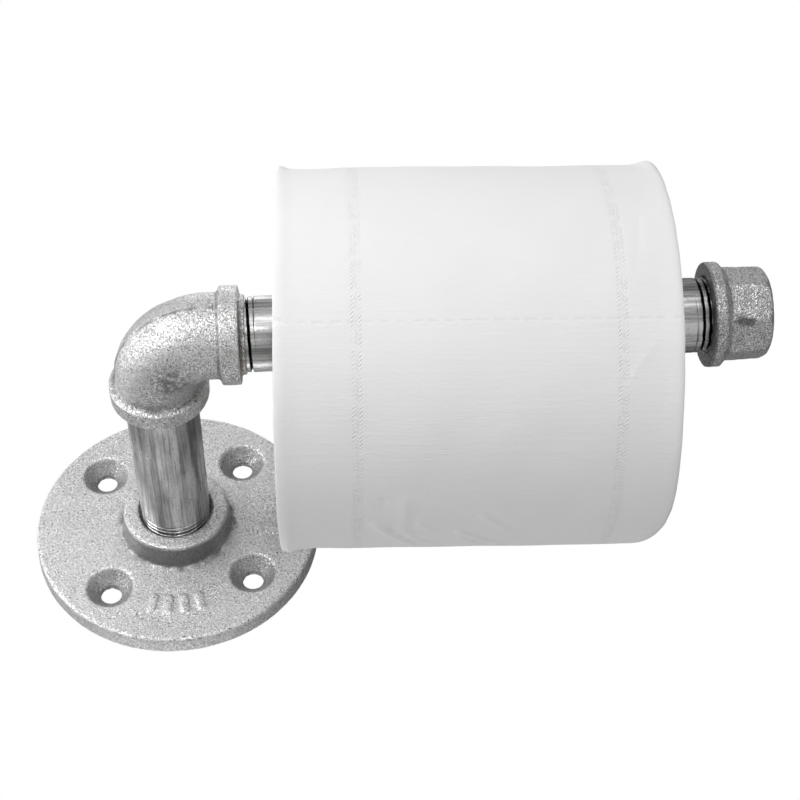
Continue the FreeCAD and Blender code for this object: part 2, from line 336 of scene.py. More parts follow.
def pipe_material():
    """Drawn pipe under a thin zinc coat: long streaks, soft patches, and painted shade in the thread roots."""
    paint = Paint("pipe_galvanised", 1.0, 0.3)
    streaks = paint.noise(paint.stretch(paint.uv, (1.0, 0.035, 1.0)), 1400, detail=3.0)
    bands = paint.noise(paint.stretch(paint.uv, (1.0, 0.05, 1.0)), 330, detail=2.0)
    patches = paint.noise(paint.stretch(paint.uv, (1.0, 0.3, 1.0)), 160, detail=3.0, roughness=0.6)
    specks = paint.noise(paint.stretch(paint.uv, (1.0, 0.5, 1.0)), 1500, detail=2.0)
    tone = paint.weigh((streaks, 0.35), (bands, 0.35), (patches, 0.3))
    colour = paint.mix(paint.span(tone, 0.38, 0.62), grey(0.22), grey(0.74))
    colour = paint.mix(paint.span(specks, 0.6, 0.7, 0.0, 0.6), colour, grey(0.24))
    # Painted shade: the thread roots are darkened where the grooves are deep.
    colour = paint.mix(paint.span(paint.attribute("groove"), 0.1, 0.5, 0.0, 0.95), colour, grey(0.03))
    roughness = paint.span(patches, 0.3, 0.7, 0.38, 0.24)
    return paint.finish(colour, roughness, paint.bump(paint.weigh((tone, 1.0), (specks, 0.5)), 0.07 * MM))


def tissue_material():
    """Creped tissue: fine short wrinkles across the web, knurled bands, perforations and faint mottling."""
    paint = Paint("tissue", 0.0, 0.95)
    paint.shader.inputs["Sheen Weight"].default_value = 0.2
    paint.shader.inputs["Sheen Roughness"].default_value = 0.6
    creping = paint.noise(paint.stretch(paint.uv, (0.2, 1.0, 1.0)), 1700, detail=3.0, distortion=0.3)
    long_creping = paint.noise(paint.stretch(paint.uv, (0.06, 1.0, 1.0)), 700, detail=2.0)
    fibres = paint.noise(paint.uv, 1500, detail=3.0)
    clouds = paint.noise(paint.uv, 60, detail=3.0)
    slits = paint.attribute("perforation")
    knurls = knurled_bands(paint)
    height = paint.weigh((creping, 0.5), (long_creping, 0.5), (fibres, 0.25), (slits, -0.5), (knurls, 0.55))
    colour = paint.mix(clouds, grey(0.80), grey(0.84))
    # Painted shade in the perforation slits.
    colour = paint.mix(paint.span(slits, 0.2, 1.0, 0.0, 0.12), colour, grey(0.55))
    return paint.finish(colour, normal=paint.bump(height, 0.15 * MM))


def knurled_bands(paint):
    """Slanting dashes in narrow bands round the roll, in files that lean one way and the other in turn."""
    u, v, _ = paint.split(paint.uv)
    total = 0.0
    file_width = BAND_HALF * 2 / BAND_FILES
    worn = paint.span(paint.noise(paint.uv, 420, detail=2.0), 0.35, 0.6, 0.25, 1.0)
    for band in BANDS:
        away = paint.math("SUBTRACT", u, roll.start + band * (roll.end - roll.start))
        inside = paint.span(paint.math("ABSOLUTE", away), BAND_HALF, BAND_HALF - 0.3 * MM)
        lean = paint.math("PINGPONG", paint.math("ADD", away, BAND_HALF), file_width)
        from_file = paint.math("ABSOLUTE", paint.math("SUBTRACT", lean, file_width / 2))
        inside = paint.math("MULTIPLY", inside, paint.span(from_file, file_width / 2, file_width * 0.2))
        phase = paint.math("MULTIPLY", paint.math("ADD", v, lean), 2 * math.pi / KNURL_PITCH)
        total = paint.math("MULTIPLY_ADD", paint.math("SINE", phase), inside, total)
    return paint.math("MULTIPLY", total, worn)


def laps_material():
    """The ends of the wound web: close rings of sheet edges."""
    paint = Paint("tissue_laps", 0.0, 0.95)
    rings = paint.noise(paint.stretch(paint.uv, (0.02, 1.0, 1.0)), 3600, detail=3.0, roughness=0.7)
    groups = paint.noise(paint.stretch(paint.uv, (0.01, 1.0, 1.0)), 520, detail=2.0)
    fuzz = paint.noise(paint.object, 2200, detail=2.0)
    height = paint.weigh((rings, 1.0), (fuzz, 0.35), (groups, 0.6))
    colour = paint.mix(paint.span(rings, 0.3, 0.6), grey(0.58), grey(0.78))
    return paint.finish(colour, normal=paint.bump(height, 0.15 * MM))


def board_material():
    """Grey-brown core board with pressed fibres and flecks."""
    paint = Paint("core_board", 0.0, 0.85)
    fibres = paint.noise(paint.stretch(paint.object, (0.25, 1.0, 1.0)), 1600, detail=4.0, roughness=0.65)
    flecks = paint.noise(paint.object, 900, detail=2.0)
    clouds = paint.noise(paint.object, 90, detail=3.0)
    dark_board = (0.30, 0.235, 0.17, 1)
    pale_board = (0.50, 0.42, 0.33, 1)
    greyish = (0.40, 0.36, 0.31, 1)
    fleck = (0.16, 0.12, 0.09, 1)
    colour = paint.mix(fibres, dark_board, pale_board)
    colour = paint.mix(paint.span(clouds, 0.35, 0.7, 0.0, 0.3), colour, greyish)
    colour = paint.mix(paint.span(flecks, 0.68, 0.74, 0.0, 0.7), colour, fleck)
    return paint.finish(colour, normal=paint.bump(fibres, 0.05 * MM))


# ---------------------------------------------------------------- mesh helpers

def add_piece(name, mesh, body, material, matrix=None):
    """Puts a mesh in the scene as a piece of its own that rides a body of the model."""
    piece = bpy.data.objects.new(name, mesh)
    scene.collection.objects.link(piece)
    if matrix is not None:
        piece.matrix_world = matrix
    piece.data.materials.clear()
    piece.data.materials.append(material)
    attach(piece, body)
    return piece


def outward(mesh):
    """Turns every face of a closed mesh to face out."""
    work = bmesh.new()
    work.from_mesh(mesh)
    bmesh.ops.recalc_face_normals(work, faces=work.faces)
    work.to_mesh(mesh)
    work.free()


def store(mesh, key, values):
    """Gives each vertex a number that a material can read."""
    layer = mesh.attributes.new(key, "FLOAT", "POINT")
    layer.data.foreach_set("value", values.astype(np.float32).ravel())


def grid_mesh(name, points, uv, close_rows=True, attributes=None):
    """A tube of quads from points[row, column], or a ring where its last row joins its first.

    uv has one more column than points, and one more row where the rows close.
    """
    rows, columns = points.shape[:2]
    index = np.arange(rows * columns).reshape(rows, columns)
    if close_rows:
        index = np.vstack([index, index[:1]])
    index = np.hstack([index, index[:, :1]])

    def corners(grid):
        around = [grid[:-1, :-1], grid[:-1, 1:], grid[1:, 1:], grid[1:, :-1]]
        return np.stack(around, axis=2)

    quads = corners(index).reshape(-1, 4)
    mesh = bpy.data.meshes.new(name)
    mesh.vertices.add(rows * columns)
    mesh.vertices.foreach_set("co", points.astype(np.float32).ravel())
    mesh.loops.add(quads.size)
    mesh.loops.foreach_set("vertex_index", quads.ravel().astype(np.int32))
    mesh.polygons.add(len(quads))
    mesh.polygons.foreach_set("loop_start", np.arange(0, quads.size, 4, dtype=np.int32))
    layer = mesh.uv_layers.new(name="sheet")
    layer.data.foreach_set("uv", corners(uv).astype(np.float32).ravel())
    mesh.update(calc_edges=True)
    mesh.validate()
    for key, values in (attributes or {}).items():
        store(mesh, key, values)
    outward(mesh)
    mesh.shade_smooth()
    return mesh


def ring_points(along, radius, angle, centre=(0, 0, 0), axis=(1, 0, 0), side=(0, 1, 0)):
    """Points round an axis, with a row for each place along it and a column for each angle from side."""
    axis, side = Vector(axis), Vector(side)
    other = axis.cross(side)
    shape = np.broadcast(along, radius, angle).shape
    along, radius, angle = (np.broadcast_to(values, shape)[..., None] for values in (along, radius, angle))
    return (
        np.array(centre)
        + along * np.array(axis)
        + radius * (np.cos(angle) * np.array(side) + np.sin(angle) * np.array(other))
    )


def smooth_step(value, low, high):
    """0 below low, 1 above high, and a smooth rise between."""
    share = np.clip((value - low) / (high - low), 0, 1)
    return share * share * (3 - 2 * share)


def hump(away, width):
    """1 in the middle, falling smoothly to 0 over about twice the width."""
    return np.exp(-(away / width) ** 2)


def crossed_waves(around, along, seed, count, turns, length=math.inf):
    """Unevenness of about -1 to 1: count waves with up to turns crests round the axis, longer than length."""
    rng = np.random.default_rng(seed)
    total = 0
    for _ in range(count):
        crests = int(rng.integers(-turns, turns + 1))
        pitch = rng.uniform(-1, 1) * 2 * math.pi / length
        total = total + np.sin(crests * around + pitch * along + rng.uniform(0, 2 * math.pi))
    return total / math.sqrt(count)


# ---------------------------------------------------------------- threaded pipes

THREAD_PITCH = 1.814 * MM
THREAD_DEPTH = 1.05 * MM
THREAD_TAPER = 1 / 32  # fall of the radius for each unit of length
THREAD_FADE = 1.1 * MM  # length over which the last turns run out
THREAD_TRACE = 0.4 * MM  # length past the thread that still has a trace of it
POST_THREADS = (13.6 * MM, 13.6 * MM)  # length of the thread at a pipe's start and at its end
ARM_THREADS = (14.6 * MM, 14.1 * MM)
GROOVE_SHARE = 0.45  # of the pitch, between two flat crests
GROOVE_FILL = 1.15  # above 1, so a groove has a flat bottom
PIPE_CHAMFER = 0.8 * MM
PIPE_COLUMNS = 168
PIPE_ROW = 1.6 * MM  # between rows of the plain stretch
ROWS_PER_TURN = 14
ROWS_PAST_THREAD = 1.2 * MM
BORE_ROWS = 24


def pipe_mesh(name, pipe, side, seed, threads):
    """A pipe with a true right-hand helical taper thread at both ends, open from end to end."""
    length = pipe.end - pipe.start
    turn_row = THREAD_PITCH / ROWS_PER_TURN
    first, last = (np.arange(PIPE_CHAMFER, thread + ROWS_PAST_THREAD, turn_row) for thread in threads)
    plain = np.linspace(first[-1] + 1.0 * MM, length - last[-1] - 1.0 * MM, int(length / PIPE_ROW))
    outer_rows = np.concatenate([[0.0], first, plain, length - last[::-1], [length]])
    inner_rows = np.linspace(length, 0, BORE_ROWS)
    rows = np.concatenate([outer_rows, inner_rows])[:, None]
    outside = (np.arange(len(rows)) < len(outer_rows))[:, None]
    angle = np.linspace(0, 2 * math.pi, PIPE_COLUMNS, endpoint=False)[None, :]

    from_end = np.minimum(rows, length - rows)
    thread = np.where(rows < length / 2, threads[0], threads[1])
    crest = pipe.outer - np.clip(thread - from_end, 0, None) * THREAD_TAPER
    phase = (rows / THREAD_PITCH - angle / (2 * math.pi)) % 1.0
    strength = 1 - smooth_step(from_end - thread, -THREAD_FADE, THREAD_TRACE)
    # Where the thread runs out, the groove gets narrower and shallower.
    from_groove = np.abs(2 * phase - 1) / GROOVE_SHARE
    groove = np.clip(GROOVE_FILL * (1 - from_groove) - 0.5 * (1 - strength), 0, 1)
    groove = groove * np.minimum(strength * 1.6, 1) * outside
    chamfer = np.clip(PIPE_CHAMFER - from_end, 0, None)
    uneven = crossed_waves(angle, rows, seed, count=8, turns=5, length=25 * MM) * 0.035 * MM
    outer = crest - groove * THREAD_DEPTH - chamfer + uneven * (1 - strength)
    inner = pipe.inner + crossed_waves(angle, rows, seed + 1, count=6, turns=4, length=30 * MM) * 0.06 * MM
    radius = np.where(outside, outer, inner)
    points = ring_points(pipe.start + rows, radius, angle, pipe.centre, pipe.axis, side)

    turn = np.linspace(0, 2 * math.pi * pipe.outer, PIPE_COLUMNS + 1)[None, :]
    v = np.concatenate([rows, rows[:1]])
    u, v = np.broadcast_arrays(turn, v)
    mesh = grid_mesh(name, points, np.stack([u, v], axis=2), attributes={"groove": groove})
    mesh.set_sharp_from_angle(angle=math.radians(50))
    return mesh


def make_pipes():
    metal = pipe_material()
    for name, node, pipe, side, seed, threads in (
        ("arm_pipe", "arm_nipple", arm, (0, 1, 0), 11, ARM_THREADS),
        ("post_pipe", "post_nipple", post, (1, 0, 0), 23, POST_THREADS),
    ):
        mesh = pipe_mesh(name, pipe, side, seed, threads)
        piece = add_piece(name, mesh, "holder", metal)
        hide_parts(node)


# ---------------------------------------------------------------- cast fittings

LUMP = 6 * MM  # size of a casting's broad unevenness
GRAIN = 1.5 * MM  # size of its fine unevenness
# Painted shade on the castings' downward-facing surfaces, as a share of the full darkening.
UNDERSIDE_SHADE = 0.4
HUB_FOOT = 17.6 * MM  # radius where the flange's hub meets its plate
# Width of the painted shade round the hub's foot.
FOOT_SHADE_WIDTH = 1.6 * MM
SINK_RADIUS = 7.6 * MM  # painted shade in the mouth of a countersink
SCREW_TURN = 3.5  # degrees from the diagonals to the flange's holes
BEAD_REACH = 8.4 * MM  # from a mouth of the elbow to past its bead
BEAD_ROOT = 7.7 * MM  # from a mouth of the elbow to the crease behind its bead
CREASE_WIDTH = 0.45 * MM
CREASE_DEPTH = 0.12 * MM
PARTING_HEIGHT = 0.3 * MM
PARTING_WIDTH = 0.45 * MM
PARTING_SHADE = 0.6 * MM  # from the parting line down to the middle of the painted shade line beside it
ELBOW_SHADE_PATCH = Vector((5.0, -86.5, -12.2)) * MM  # middle of a patch of painted shade on the elbow's underside, at its inner bend
SHADE_PATCH_RADIUS = 4.5 * MM
# Pits of the cap: mm from the collar's face, degrees from +Y towards +Z, and radius and depth in mm.
CAP_PITS = ((8.2, 232.0, 1.5, 0.75), (10.3, 236.0, 1.1, 0.45), (12.4, 64.0, 1.3, 0.4))


def cast_mesh(name, node, voxel, rounds):
    """The CAD node's shape as an even skin of small quads, with its sharp edges slightly rounded."""
    work = bmesh.new()
    work.from_mesh(frame["nodes"][node].data)
    bmesh.ops.remove_doubles(work, verts=work.verts, dist=1e-6)
    mesh = bpy.data.meshes.new(name)
    work.to_mesh(mesh)
    work.free()
    shell = bpy.data.objects.new(name + "_shell", mesh)
    scene.collection.objects.link(shell)
    remesh = shell.modifiers.new("skin", "REMESH")
    remesh.mode = "VOXEL"
    remesh.voxel_size = voxel
    soften = shell.modifiers.new("soften", "SMOOTH")
    soften.factor = 0.5
    soften.iterations = rounds
    skin = bpy.data.meshes.new_from_object(shell.evaluated_get(bpy.context.evaluated_depsgraph_get()))
    skin.name = name
    bpy.data.objects.remove(shell)
    return skin


def scatter(points, size, shift=Vector((0, 0, 0))):
    """Smooth noise of about -1 to 1 at each point, with lumps of about the given size."""
    return np.array([noise.noise(Vector(p) / size + shift) for p in points])


def roughen(mesh, unevenness, grain, seed, marks):
    """Moves a casting's skin along its normals, and stores how much painted shade each point gets for the
    material.
    """
    count = len(mesh.vertices)
    points = np.empty(count * 3, np.float32)
    mesh.vertices.foreach_get("co", points)
    points = points.reshape(-1, 3).astype(float)
    normals = np.empty(count * 3, np.float32)
    mesh.vertex_normals.foreach_get("vector", normals)
    normals = normals.reshape(-1, 3).astype(float)
    shift = Vector((seed * 3.7, seed * 1.3, seed * 2.1))
    height = scatter(points, LUMP, shift) * unevenness + scatter(points, GRAIN, -shift) * grain
    raised, dull_and_shade = marks(points, normals)
    # Painted shade on every surface that faces down.
    dull_and_shade = dull_and_shade + UNDERSIDE_SHADE * smooth_step(-normals[:, 2], 0.6, 1.0)
    points += normals * (height + raised)[:, None]
    mesh.vertices.foreach_set("co", points.astype(np.float32).ravel())
    store(mesh, "painted_shade", dull_and_shade)
    mesh.update()
    mesh.shade_smooth()


def screw_places():
    """Where the flange's four screws go, as X and Z. They stand SCREW_TURN off the diagonals."""
    mount = next(m for m in frame["record"]["mounts"] if m["name"] == "screw_holes")
    circle = mount["dims"]["pcd_mm"] * MM / 2
    turns = [math.radians(45 + SCREW_TURN + 90 * i) for i in range(4)]
    return [(circle * math.cos(a), circle * math.sin(a)) for a in turns]


# For each casting, what its marks raise at each point in metres, and how much painted shade they put there from 0
# to 1.

def flange_marks(points, normals):
    """Painted shade, speckled, round the foot of the hub and up its side, and painted shade in the countersinks.
    """
    from_axis = np.hypot(points[:, 0], points[:, 2])
    hub_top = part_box("floor_flange")[0].y
    # Painted shade, speckled, round the foot of the hub where it meets the plate.
    foot = hump(from_axis - HUB_FOOT, FOOT_SHADE_WIDTH) * np.clip(0.55 + scatter(points, 2.5 * MM) * 0.5, 0, 1)
    # Painted shade up the hub's side wall.
    wall = 1 - smooth_step(from_axis, HUB_FOOT - 0.6 * MM, HUB_FOOT + 0.4 * MM)
    wall = wall * smooth_step(from_axis, HUB_FOOT - 4.5 * MM, HUB_FOOT - 3.0 * MM)
    wall = wall * smooth_step(points[:, 1], hub_top + 0.6 * MM, hub_top + 1.6 * MM)
    on_front = smooth_step(-points[:, 1], 2 * MM, 4 * MM)
    dull_and_shade = np.maximum(foot, wall * 0.7) * on_front
    # Painted shade in the countersinks.
    for x, z in screw_places():
        from_hole = np.hypot(points[:, 0] - x, points[:, 2] - z)
        dull_and_shade = np.maximum(dull_and_shade, 0.5 - 0.5 * smooth_step(from_hole, SINK_RADIUS - 1 * MM, SINK_RADIUS))
    return np.zeros(len(points)), dull_and_shade


def elbow_marks(points, normals):
    """The mould's parting line, a low broken ridge with a painted shade line below it, the creases behind the
    beads with painted shade in them, and a patch of painted shade under the inner bend.
    """
    above_plane = points[:, 2] - corner.z
    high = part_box("elbow")[1]
    from_arm_mouth, from_post_mouth = high.x - points[:, 0], high.y - points[:, 1]
    near_mouth = (from_arm_mouth < BEAD_REACH) | (from_post_mouth < BEAD_REACH)
    sideways = (1 - np.clip(np.abs(normals[:, 2]) * 1.6, 0, 1)) * np.where(near_mouth, 0.25, 1.0)
    parting = sideways * np.clip(0.7 + scatter(points, 4 * MM), 0.1, 1.0)
    ridge = hump(above_plane, PARTING_WIDTH) * parting
    # Painted shade: a darker line just below the parting ridge.
    shade = hump(above_plane + PARTING_SHADE, PARTING_WIDTH) * parting
    spotted = scatter(points, 1.3 * MM)
    # Painted shade: a speckled darker patch on the underside at the inner bend.
    from_shade_patch = np.linalg.norm(points - np.array(ELBOW_SHADE_PATCH), axis=1)
    shade_patch = hump(from_shade_patch, SHADE_PATCH_RADIUS) * np.clip(0.5 + spotted * 1.2, 0, 1)
    from_root = np.minimum(np.abs(from_arm_mouth - BEAD_ROOT), np.abs(from_post_mouth - BEAD_ROOT))
    # The creases behind the beads are real, and they are darkened as well: painted shade in them.
    crease = hump(from_root, CREASE_WIDTH) * np.clip(0.8 + spotted * 0.6, 0, 1)
    return ridge * PARTING_HEIGHT - crease * CREASE_DEPTH, np.clip(shade + shade_patch + crease * 0.7, 0, 1)


def cap_marks(points, normals):
    """Casting pits where a flat meets the next, with painted shade in them, and painted shade on the collar's
    face.
    """
    raised = np.zeros(len(points))
    low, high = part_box("end_cap")
    # Painted shade on the face of the collar.
    dull_and_shade = 0.7 - 0.7 * smooth_step(points[:, 0], low.x + 0.3 * MM, low.x + 1.2 * MM)
    reach = (high.z - low.z) / 2 * 0.9
    for along, degrees, radius, depth in CAP_PITS:
        angle = math.radians(degrees)
        centre = (low.x + along * MM, corner.y + math.cos(angle) * reach, corner.z + math.sin(angle) * reach)
        pit = hump(np.linalg.norm(points - np.array(centre), axis=1), radius * MM)
        raised -= pit * depth * MM
        # Painted shade in each pit, besides its real depth.
        dull_and_shade += pit
    return raised, np.clip(dull_and_shade, 0, 1)


def make_castings():
    fitting = cast_material("cast_fitting", 2000, 0.16 * MM, 0.22, 0.98)
    plate = cast_material("cast_plate", 1700, 0.20 * MM, 0.5, 1.0)
    # After the metal: size of the skin's quads, rounds of softening, broad and fine unevenness, and seed.
    for name, node, body, metal, voxel, rounds, unevenness, grain, seed, marks in (
        ("cast_flange", "floor_flange", "holder", plate, 0.42 * MM, 1, 0.06 * MM, 0.02 * MM, 3, flange_marks),
        ("cast_elbow", "elbow", "holder", fitting, 0.34 * MM, 2, 0.16 * MM, 0.08 * MM, 5, elbow_marks),
        ("cast_cap", "end_cap", "cap", fitting, 0.3 * MM, 2, 0.10 * MM, 0.08 * MM, 7, cap_marks),
    ):
        mesh = cast_mesh(name, node, voxel, rounds)
        roughen(mesh, unevenness, grain, seed, marks)
        piece = add_piece(name, mesh, body, metal)
        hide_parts(node)


# ---------------------------------------------------------------- paper roll

# The roll is built about its own axis: X along the roll, Y and Z across. Angles are from +Y towards +Z.
HALF_ROLL = (roll.end - roll.start) / 2
FRONT = math.degrees(math.atan2(towards_camera.z, towards_camera.y)) % 360  # the side that is seen most
TOP_OUTLINE = FRONT - 85
BOTTOM_OUTLINE = FRONT + 85
CRUSH_LENGTH = 7.0  # mm of the right edge that is pressed in underneath
CRUSH_DEPTH = 4.2  # mm
EDGE_WEAR = 0.25  # mm
END_STRETCH = 6 * MM  # length at either end over which the edges wander

TAIL_ANGLE = math.radians(48)  # where the tail is stuck down, at the upper back
TAIL_LAP = math.radians(16)
TAIL_TAPER = 0.012  # of the sheet's length, over which the tail lifts
TAIL_LIFT = 0.12 * MM
TAIL_RAGGED = 0.004  # radians that the tail's edge wanders by
TAIL_RAGS = 40  # how fast it wanders, in radians for each metre across
SHEET = 0.2 * MM
SHEET_STEP = 0.28 * MM  # rise of the last turn from its start to the tail on top of it
SHEET_ROWS = 470
FRONT_REACH = 100  # degrees to either side of FRONT with close rows
SLIT_REACH = math.radians(3)  # to either side of a perforation, with close rows too
FAR_ROWS = 0.4  # rows elsewhere, for each close row
SHEET_COLUMN = 0.72 * MM
SHEET_EDGE = (0.3, 0.6, 0.95, 1.5, 2.0, 3.1, 4.4, 5.6, 6.9)  # mm from either edge to its extra columns
UNDERSIDE_COLUMNS = 4  # columns of the upper side for each one of the underside
PERFORATION = math.radians(FRONT - 8.4)
PERFORATION_SPACING = math.radians(120)
SLIT_PITCH = 4.1 * MM
SLIT_WIDTH = 0.33 * MM

WEB_COLUMNS = 330
WEB_ROWS = 84
BORE_WEB_ROWS = 4
LAP_RINGS = 104
LAP_UNEVENNESS = 0.09 * MM
LAP_RADIUS = 40 * MM  # where the texture on the roll's ends has its true width

PLY_COLUMNS = 216
PLY_ROWS = 130
SEAM_LEAD = 74 * MM
SEAM_WIDTH = 0.5 * MM
SEAM_DEPTH = 0.16 * MM


def roll_matrix():
    """Takes the roll's own axes to the model's."""
    along = roll.axis
    up = (Vector((0, 0, 1)) - along * along.z).normalized()
    return Matrix.Translation(roll.centre) @ Matrix((along, up.cross(along), up)).transposed().to_4x4()


def near_angle(angle, degrees, width):
    """A hump round an angle, with its middle and its width in degrees."""
    return hump((np.degrees(angle) - degrees + 180) % 360 - 180, width)


# Creases on the roll's face: mm from the left and degrees of both ends, then width and height in mm.
CREASES = (
    ((25.5, 278), (36.5, 297), 1.0, 0.50),
    ((29.7, 281), (37.7, 295), 1.1, -0.40),
    ((35.0, 288), (42.5, 297), 1.0, 0.45),
    ((37.0, 279), (41.0, 283), 0.9, 0.30),
    ((33.4, 267), (33.4, 284), 1.5, 0.25),
    ((35.6, 276), (35.6, 283), 1.1, -0.30),
    ((48.0, 284), (61.0, 297), 1.0, 0.60),
    ((50.5, 290), (56.0, 298), 0.9, -0.60),
    ((54.0, 275), (60.0, 282), 0.9, 0.30),
    ((55.6, 274), (62.0, 281), 0.9, -0.25),
    ((27.7, 266), (27.7, 269), 0.6, -0.30),
    ((97.0, 218), (93.5, 223), 0.6, 0.09),
    ((93.5, 223), (90.5, 228), 0.6, 0.09),
    ((90.5, 228), (88.5, 233), 0.6, 0.06),
    ((94.5, 180), (93.0, 196), 1.1, -0.10),
    ((0.0, 211.5), (2.4, 212), 0.6, -0.30),
)


def crease(from_left, degrees, start, end, width, height):
    """A soft ridge, or a fold where the height is below 0, along a straight line on the roll's face."""
    arc = math.radians(1) * roll.outer / MM
    point = np.stack(np.broadcast_arrays(from_left, degrees % 360 * arc), axis=-1)
    first = np.array([start[0], start[1] * arc])
    run = np.array([end[0], end[1] * arc]) - first
    share = np.clip((point - first) @ run / (run @ run), 0, 1)
    away = np.linalg.norm(point - first - share[..., None] * run, axis=-1)
    return hump(away, width) * height


def dents(x, angle, underneath=False):
    """How far the roll's face stands out from a true cylinder, in metres. All lengths inside are in mm.

    Under the outer sheet every crease leaves a dip, so that the wound web stays clear of it.
    """
    from_left = (x - roll.start) / MM
    from_right = (roll.end - x) / MM
    total = crossed_waves(angle, x, 31, count=14, turns=5, length=70 * MM) * 0.16
    total = total + crossed_waves(angle, x, 37, count=16, turns=16, length=22 * MM) * 0.05

    # The left edge is bent out into a lip, mostly at the top and underneath, with a shallow valley beside it.
    height = 0.10 + 0.85 * near_angle(angle, TOP_OUTLINE, 9) + 0.85 * near_angle(angle, BOTTOM_OUTLINE, 20)
    height = height + 0.5 * near_angle(angle, 30, 30)
    crest = 2.3 - 1.2 * near_angle(angle, TOP_OUTLINE, 25)
    lip = hump(from_left - crest, np.where(from_left < crest, 1.5, 2.0))
    total = total + height * (lip - 0.35 * hump(from_left - 10.0, 8.0))

    # The right edge has a narrower lip, and is pressed in to a round corner underneath.
    height = 0.15 + 0.95 * near_angle(angle, TOP_OUTLINE, 12) + 0.4 * near_angle(angle, 80, 25)
    total = total + height * hump(from_right - 1.0, np.where(from_right < 1.0, 1.5, 3.0))
    inside = np.clip(1 - from_right / CRUSH_LENGTH, 0, 0.999)
    crushed = near_angle(angle, BOTTOM_OUTLINE + 6, 30) * (1 - np.sqrt(1 - inside ** 2))
    total = total - CRUSH_DEPTH * crushed

    total = total - EDGE_WEAR * (np.exp(-from_left / 0.5) + np.exp(-from_right / 0.5))
    for start, end, width, height in CREASES:
        if underneath:
            width, height = 3.0, -1.3 * abs(height)
        total = total + crease(from_left, np.degrees(angle), start, end, width, height)
    return total * MM


def edge_shift(angle, seed):
    """How far the web's edge wanders along the roll, in metres."""
    slow = crossed_waves(angle, 0.0, seed, count=10, turns=6) * 0.12 * MM
    fast = crossed_waves(angle, 0.0, seed + 1, count=12, turns=40) * 0.05 * MM
    return slow + fast


def stretch_ends(x, angle):
    """Moves points near either end along the roll, so that the edges aren't ruler straight."""
    right = smooth_step(x, HALF_ROLL - END_STRETCH, HALF_ROLL)
    left = smooth_step(-x, HALF_ROLL - END_STRETCH, HALF_ROLL)
    return x + right * (edge_shift(angle, 51) - 0.2 * MM) + left * (edge_shift(angle, 61) + 0.2 * MM)


def wound_paper(material):
    """The wound web: one closed ring whose ends show the rings of sheet edges."""
    bore = wrap.outer + 0.02 * MM
    rim = roll.outer - SHEET_STEP - SHEET - 0.06 * MM
    angle = np.linspace(0, 2 * math.pi, WEB_COLUMNS, endpoint=False)[None, :]
    wall = np.linspace(-HALF_ROLL, HALF_ROLL, WEB_ROWS)[:, None]
    ring = np.linspace(rim, bore, LAP_RINGS + 2)[1:-1][:, None]

    near_rim = np.clip(1 - (rim - ring) / (5 * MM), 0, 1) ** 2
    rng = np.random.default_rng(71)
    end_x = {}
    end_radius = {}
    for side in (1, -1):
        laps = rng.uniform(-1, 1, LAP_RINGS)[:, None] * LAP_UNEVENNESS
        swirl = crossed_waves(angle, ring, 81 + side, count=12, turns=3, length=3.2 * MM) * 0.16 * MM
        dish = (0.35 + 0.25 * side) * MM * np.sin(math.pi * (ring - bore) / (rim - bore)) ** 2
        end_x[side] = side * (HALF_ROLL + laps + swirl - dish)
        end_radius[side] = ring + dents(np.full_like(angle, side * HALF_ROLL), angle) * near_rim

    outer_wall = rim + dents(wall, angle, underneath=True)
    bore_wall = np.linspace(HALF_ROLL, -HALF_ROLL, BORE_WEB_ROWS)[:, None]
    all_round = np.zeros_like(angle)  # added to a column of values, it repeats them at every angle
    bore_radius = bore + 0 * bore_wall + all_round
    x = np.concatenate([wall + all_round, end_x[1], bore_wall + all_round, end_x[-1][::-1]])
    radius = np.concatenate([outer_wall, end_radius[1], bore_radius, end_radius[-1][::-1]])
    points = ring_points(stretch_ends(x, angle), radius, angle)

    turn = np.linspace(0, 2 * math.pi * LAP_RADIUS, WEB_COLUMNS + 1)[None, :]
    v = np.concatenate([wall, HALF_ROLL + rim - ring, bore_wall, -HALF_ROLL - rim + ring[::-1], wall[:1]])
    u, v = np.broadcast_arrays(turn, v)
    mesh = grid_mesh("wound_paper", points, np.stack([u, v], axis=2))
    mesh.set_sharp_from_angle(angle=math.radians(60))
    piece = add_piece("wound_paper", mesh, "roll", material, roll_matrix())
    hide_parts("paper_roll")


def band_middles():
    return [-HALF_ROLL + band * 2 * HALF_ROLL for band in BANDS]


def sheet_columns():
    """Places across the outer sheet: close together at both edges and in the knurled bands."""
    places = list(np.arange(-HALF_ROLL, HALF_ROLL, SHEET_COLUMN)) + [HALF_ROLL]
    for centre in band_middles():
        places = [p for p in places if abs(p - centre) > BAND_HALF + 0.8 * MM]
        places += list(np.linspace(centre - BAND_HALF - 0.5 * MM, centre + BAND_HALF + 0.5 * MM, 7))
    for inset in SHEET_EDGE:
        places += [inset * MM - HALF_ROLL, HALF_ROLL - inset * MM]
    return np.array(sorted(places))


def knurl_bed(x):
    """1 in the shallow beds that hold the knurled bands, and 0 elsewhere."""
    return sum(
        1 - smooth_step(np.abs(x - centre), BAND_HALF - 0.2 * MM, BAND_HALF + 0.4 * MM)
        for centre in band_middles()
    )


def from_perforation(angle):
    """The angle from the nearest perforation."""
    return (angle - PERFORATION + PERFORATION_SPACING / 2) % PERFORATION_SPACING - PERFORATION_SPACING / 2


def sheet_rows(turn):
    """Places along the outer sheet, as shares of its length: closer in front and at the perforations."""
    share = np.linspace(0, 1, 6001)
    angle = TAIL_ANGLE + share * turn
    in_front = np.abs((np.degrees(angle) - FRONT + 180) % 360 - 180) < FRONT_REACH
    close = in_front | (np.abs(from_perforation(angle)) < SLIT_REACH)
    count = np.cumsum(np.where(close, 1.0, FAR_ROWS))
    count = (count - count[0]) / (count[-1] - count[0])
    return np.interp(np.linspace(0, 1, SHEET_ROWS), count, share)


